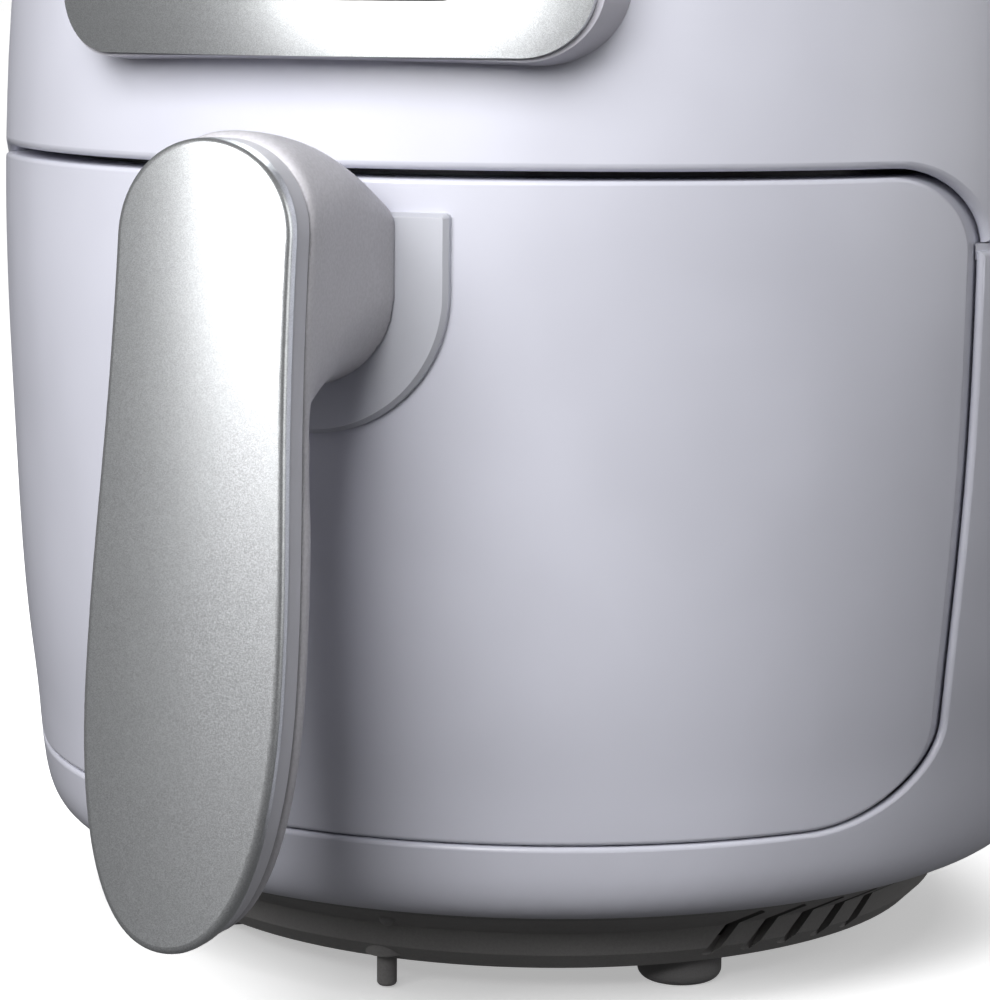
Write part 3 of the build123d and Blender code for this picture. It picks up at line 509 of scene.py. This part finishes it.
def build_floor():
    """Wide floor that takes the object's shadow, deepened by the painted shadow in its glow, but
    throws no light back on it.
    """
    mesh = bpy.data.meshes.new("floor")
    reach = FLOOR_REACH
    corners = [(-reach, -reach, 0), (reach, -reach, 0), (reach, reach, 0), (-reach, reach, 0)]
    mesh.from_pydata(corners, [], [(0, 1, 2, 3)])
    floor = bpy.data.objects.new("floor", mesh)
    bpy.context.scene.collection.objects.link(floor)
    dress(floor, floor_material())
    floor.visible_diffuse = False
    floor.visible_glossy = False


def softbox(name, azimuth, distance, height, width, depth, power):
    """Area light aimed at the middle of the body; azimuth 0 is in front, and 90 to the right."""
    light = bpy.data.lights.new(name, "AREA")
    light.shape = "RECTANGLE"
    light.size = width
    light.size_y = depth
    light.energy = power
    lamp = bpy.data.objects.new(name, light)
    bpy.context.scene.collection.objects.link(lamp)
    turn = math.radians(azimuth)
    place = AXIS + Vector((math.sin(turn) * distance, -math.cos(turn) * distance, height))
    lamp.location = place
    direction = AXIS + Vector((0, 0, AIM_HEIGHT)) - place
    lamp.rotation_euler = direction.to_track_quat("-Z", "Y").to_euler()
    return lamp


def build_world():
    """Grey surroundings for light and reflections behind a plain white background."""
    world = bpy.data.worlds.new("studio")
    bpy.context.scene.world = world
    world.use_nodes = True
    tree = world.node_tree
    backdrop = tree.nodes["Background"]
    backdrop.inputs["Color"].default_value = (1.0, 1.0, 1.0, 1.0)
    backdrop.inputs["Strength"].default_value = 1.0
    room = tree.nodes.new("ShaderNodeBackground")
    room.inputs["Color"].default_value = (0.98, 0.98, 1.0, 1.0)
    room.inputs["Strength"].default_value = ROOM_STRENGTH
    path = tree.nodes.new("ShaderNodeLightPath")
    mix = tree.nodes.new("ShaderNodeMixShader")
    tree.links.new(path.outputs["Is Camera Ray"], mix.inputs[0])
    tree.links.new(room.outputs[0], mix.inputs[1])
    tree.links.new(backdrop.outputs[0], mix.inputs[2])
    tree.links.new(mix.outputs[0], tree.nodes["World Output"].inputs[0])


def build_camera():
    """Camera at the photographed angle, built from its yaw, pitch and roll."""
    camera = bpy.data.cameras.new("camera")
    camera.lens = CAMERA_LENS
    camera.sensor_width = 36.0
    camera.clip_start = 0.01
    camera.clip_end = 200.0
    ahead = Vector((
        math.sin(CAMERA_YAW) * math.cos(CAMERA_PITCH),
        math.cos(CAMERA_YAW) * math.cos(CAMERA_PITCH),
        math.sin(CAMERA_PITCH),
    ))
    side = Vector((math.cos(CAMERA_YAW), -math.sin(CAMERA_YAW), 0.0))
    up = side.cross(ahead)
    rolled_side = math.cos(CAMERA_ROLL) * side + math.sin(CAMERA_ROLL) * up
    rolled_up = -math.sin(CAMERA_ROLL) * side + math.cos(CAMERA_ROLL) * up
    turn = Matrix((rolled_side, rolled_up, -ahead)).transposed()
    view = bpy.data.objects.new("camera", camera)
    view.matrix_world = Matrix.Translation(AXIS + CAMERA_PLACE) @ turn.to_4x4()
    bpy.context.scene.collection.objects.link(view)
    bpy.context.scene.camera = view


def build_lights():
    """Near key above the handle, weak fills each side, and a light for the back."""
    softbox("key_light", azimuth=-2, distance=0.54, height=0.41, width=0.36, depth=0.34, power=4.1)
    left_fill = softbox(
        "left_fill", azimuth=-75, distance=0.80, height=0.35, width=0.50, depth=0.50, power=1.4
    )
    left_fill.visible_glossy = False
    softbox("right_fill", azimuth=100, distance=0.85, height=0.35, width=0.60, depth=0.60, power=1.6)
    softbox("back_light", azimuth=195, distance=0.80, height=0.60, width=0.60, depth=0.50, power=4.0)


# ---------------------------------------------------------------- everything
def main():
    materials = {make.__name__: make().material for make in SLOT_LOOKS}
    dress_nodes(materials)
    dress(build_shell(), materials["handle_grey_plastic"])
    build_marks()
    build_floor()
    build_world()
    build_lights()
    build_camera()
    bpy.context.scene.view_settings.view_transform = "Standard"


main()
